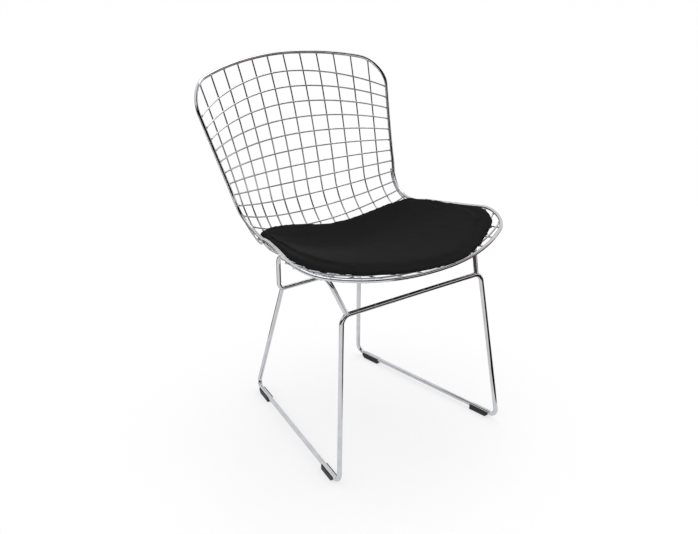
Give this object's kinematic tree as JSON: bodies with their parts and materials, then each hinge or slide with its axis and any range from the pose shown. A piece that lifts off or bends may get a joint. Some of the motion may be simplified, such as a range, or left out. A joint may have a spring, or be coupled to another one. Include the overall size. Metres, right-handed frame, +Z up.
{
  "type": "wire mesh chair",
  "caption": "Armless side chair: a curved basket of crossed chrome wires with a heavy rim on a bent rod sled base, with plastic glides and a loose black seat pad.",
  "frame": {"origin": "middle of the bounding box on the floor under the glides", "axes": "+Z up, the sitter faces -Y, +X is on the right seen from the front"},
  "size_m": [0.5164, 0.5854, 0.757],
  "materials": {
    "wire_chrome": "polished chrome plating on 3.5 mm steel wire",
    "rim_chrome": "polished chrome plating on 7.5 mm steel rod",
    "base_chrome": "polished chrome plating on 10 mm steel rod",
    "bridge_steel": "zinc plated strip",
    "screw_steel": "zinc plated low head screw",
    "glide_plastic": "black moulded plastic, slightly satin",
    "pad_leather": "matt black imitation leather over foam"
  },
  "bodies": {
    "root": {"clamp_bridge_front_left": "bridge_steel", "clamp_bridge_front_right": "bridge_steel", "clamp_bridge_rear_left": "bridge_steel", "clamp_bridge_rear_right": "bridge_steel", "clamp_screws": "screw_steel", "cradle_rod": "base_chrome", "cross_wire_01": "wire_chrome", "cross_wire_02": "wire_chrome", "cross_wire_03": "wire_chrome", "cross_wire_04": "wire_chrome", "cross_wire_05": "wire_chrome", "cross_wire_06": "wire_chrome", "cross_wire_07": "wire_chrome", "cross_wire_08": "wire_chrome", "cross_wire_09": "wire_chrome", "cross_wire_10": "wire_chrome", "cross_wire_11": "wire_chrome", "cross_wire_12": "wire_chrome", "cross_wire_13": "wire_chrome", "cross_wire_14": "wire_chrome", "cross_wire_15": "wire_chrome", "cross_wire_16": "wire_chrome", "cross_wire_17": "wire_chrome", "cross_wire_18": "wire_chrome", "cross_wire_19": "wire_chrome", "cross_wire_20": "wire_chrome", "cross_wire_21": "wire_chrome", "cross_wire_22": "wire_chrome", "cross_wire_23": "wire_chrome", "glide_front_left": "glide_plastic", "glide_front_right": "glide_plastic", "glide_rear_left": "glide_plastic", "glide_rear_right": "glide_plastic", "lengthwise_wire_01": "wire_chrome", "lengthwise_wire_02": "wire_chrome", "lengthwise_wire_03": "wire_chrome", "lengthwise_wire_04": "wire_chrome", "lengthwise_wire_05": "wire_chrome", "lengthwise_wire_06": "wire_chrome", "lengthwise_wire_07": "wire_chrome", "lengthwise_wire_08": "wire_chrome", "lengthwise_wire_09": "wire_chrome", "lengthwise_wire_10": "wire_chrome", "lengthwise_wire_11": "wire_chrome", "lengthwise_wire_12": "wire_chrome", "rim_rod": "rim_chrome", "seat_pad": "pad_leather", "sled_rod": "base_chrome", "waist_wire_left": "wire_chrome", "waist_wire_right": "wire_chrome"}
  },
  "joints": []
}
